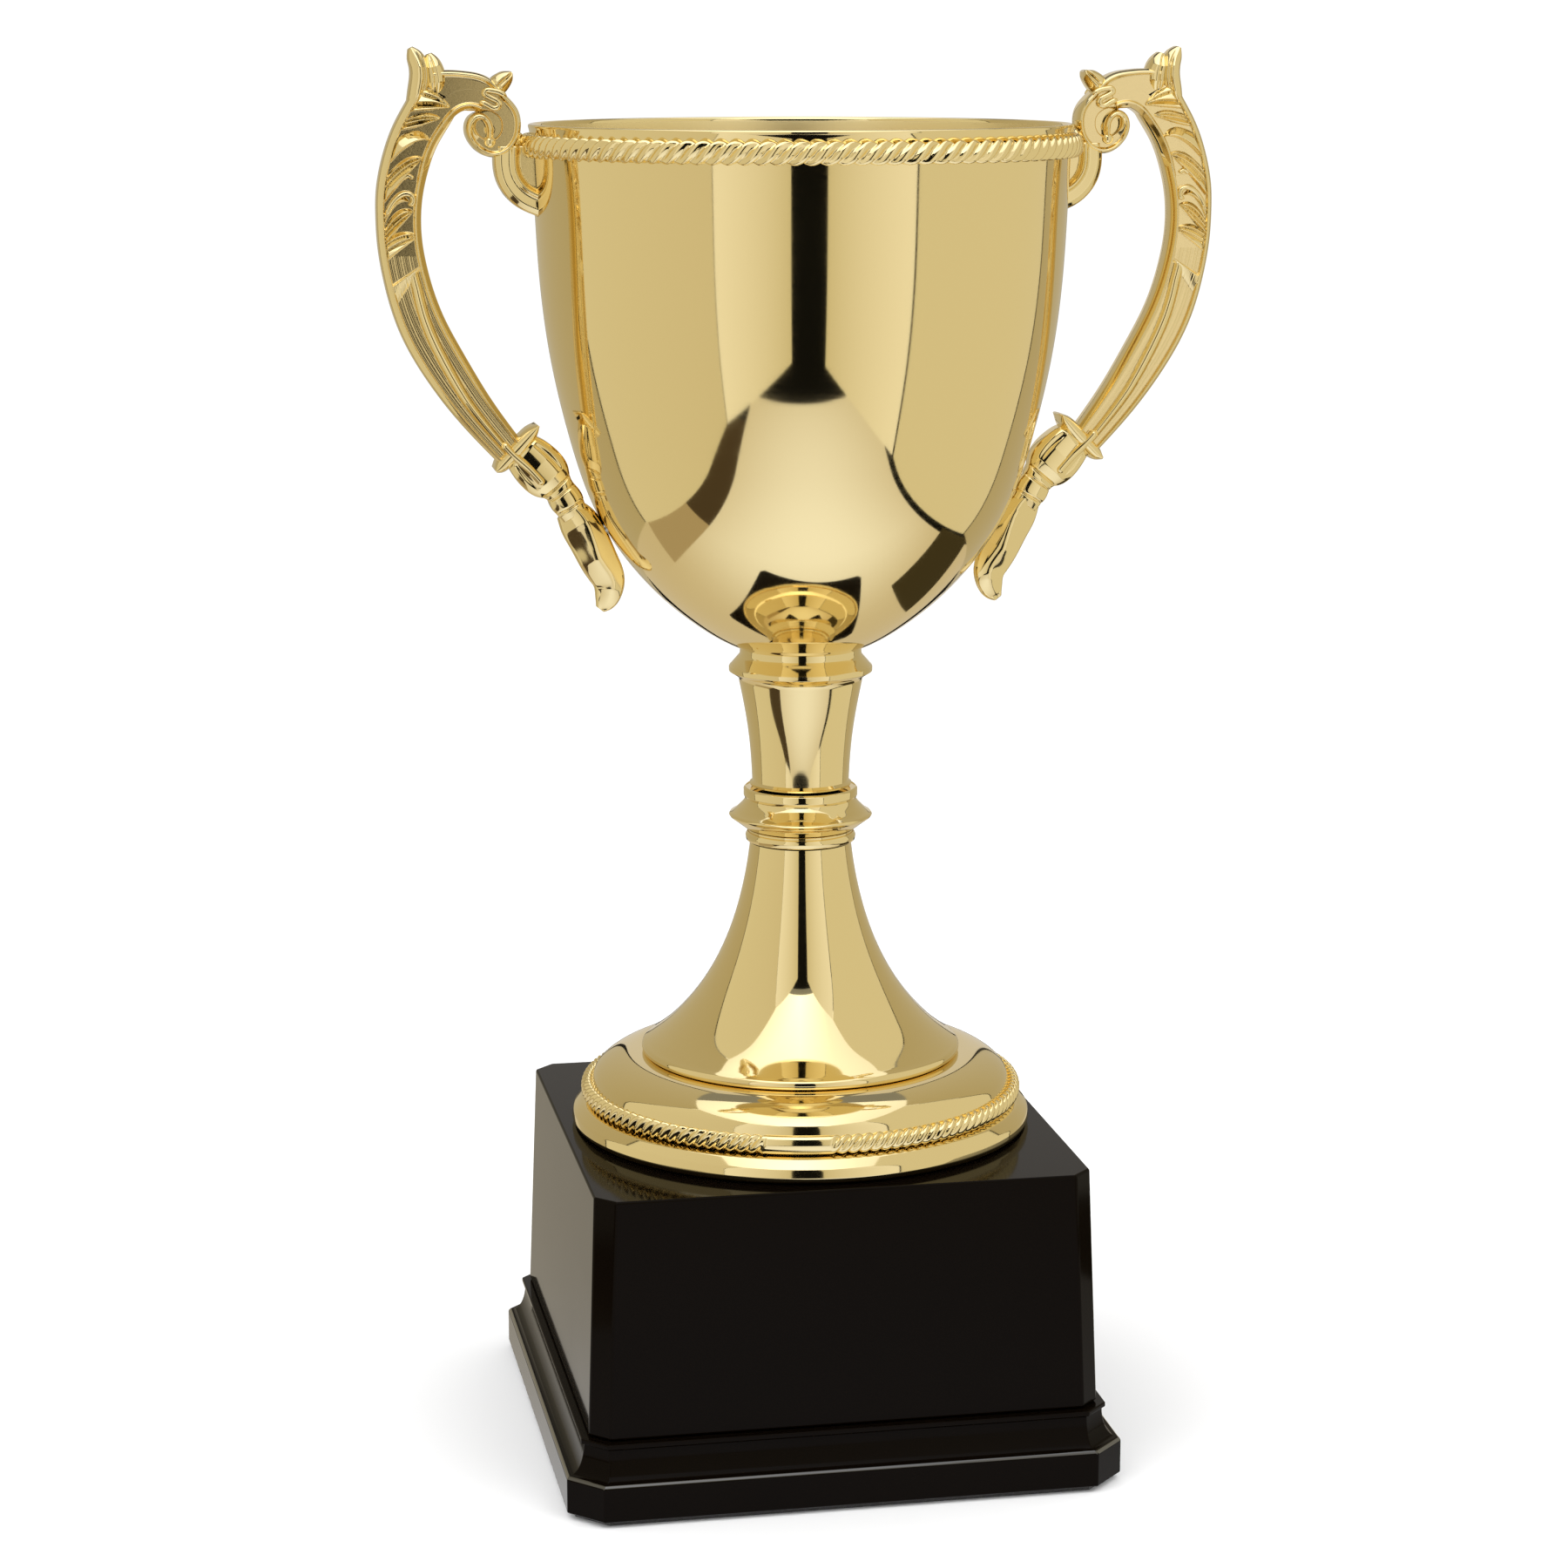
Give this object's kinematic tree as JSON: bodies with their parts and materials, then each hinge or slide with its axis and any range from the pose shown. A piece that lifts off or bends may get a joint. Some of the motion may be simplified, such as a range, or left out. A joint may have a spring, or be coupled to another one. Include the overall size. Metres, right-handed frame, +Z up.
{
  "type": "two-handled cup trophy",
  "caption": "Two-handled cup trophy in pale gold plate: rope-edged bowl on a waisted stem and flared foot, cast scroll handles, gloss black square base with a stepped plinth.",
  "frame": {"origin": "centre of the underside of the felt pad, on the surface that the trophy stands on", "axes": "+Z up along the stem, X from the left handle to the right handle, -Y out of the front face of the base"},
  "size_m": [0.1952, 0.13, 0.328],
  "materials": {
    "gold_plate": "mirror-polished pale gold plating",
    "gold_casting": "pale gold plating on a cast relief, satin in the hollows and bright on the edges",
    "black_gloss": "gloss black moulded plastic",
    "zinc_steel": "zinc-plated steel",
    "iron": "rough cast",
    "cover_board": "black-faced fibreboard",
    "felt": "black felt"
  },
  "bodies": {
    "root": {"ballast": "iron", "base_block": "black_gloss", "base_cover": "cover_board", "base_nut": "zinc_steel", "base_plinth": "black_gloss", "base_washer": "zinc_steel", "cover_screw_1": "zinc_steel", "cover_screw_2": "zinc_steel", "cover_screw_3": "zinc_steel", "cover_screw_4": "zinc_steel", "cup_bowl": "gold_plate", "felt_pad": "felt", "foot_bell": "gold_plate", "foot_flange": "gold_plate", "foot_rope_band": "gold_plate", "handle_left": "gold_casting", "handle_right": "gold_casting", "handle_screw_left_lower": "zinc_steel", "handle_screw_left_upper": "zinc_steel", "handle_screw_right_lower": "zinc_steel", "handle_screw_right_upper": "zinc_steel", "handle_washer_left_lower": "zinc_steel", "handle_washer_left_upper": "zinc_steel", "handle_washer_right_lower": "zinc_steel", "handle_washer_right_upper": "zinc_steel", "rim_rope_band": "gold_plate", "rod_cap_nut": "gold_plate", "rod_cap_washer": "gold_plate", "stem_collar": "gold_plate", "stem_knop": "gold_plate", "stem_rod": "zinc_steel"}
  },
  "joints": []
}
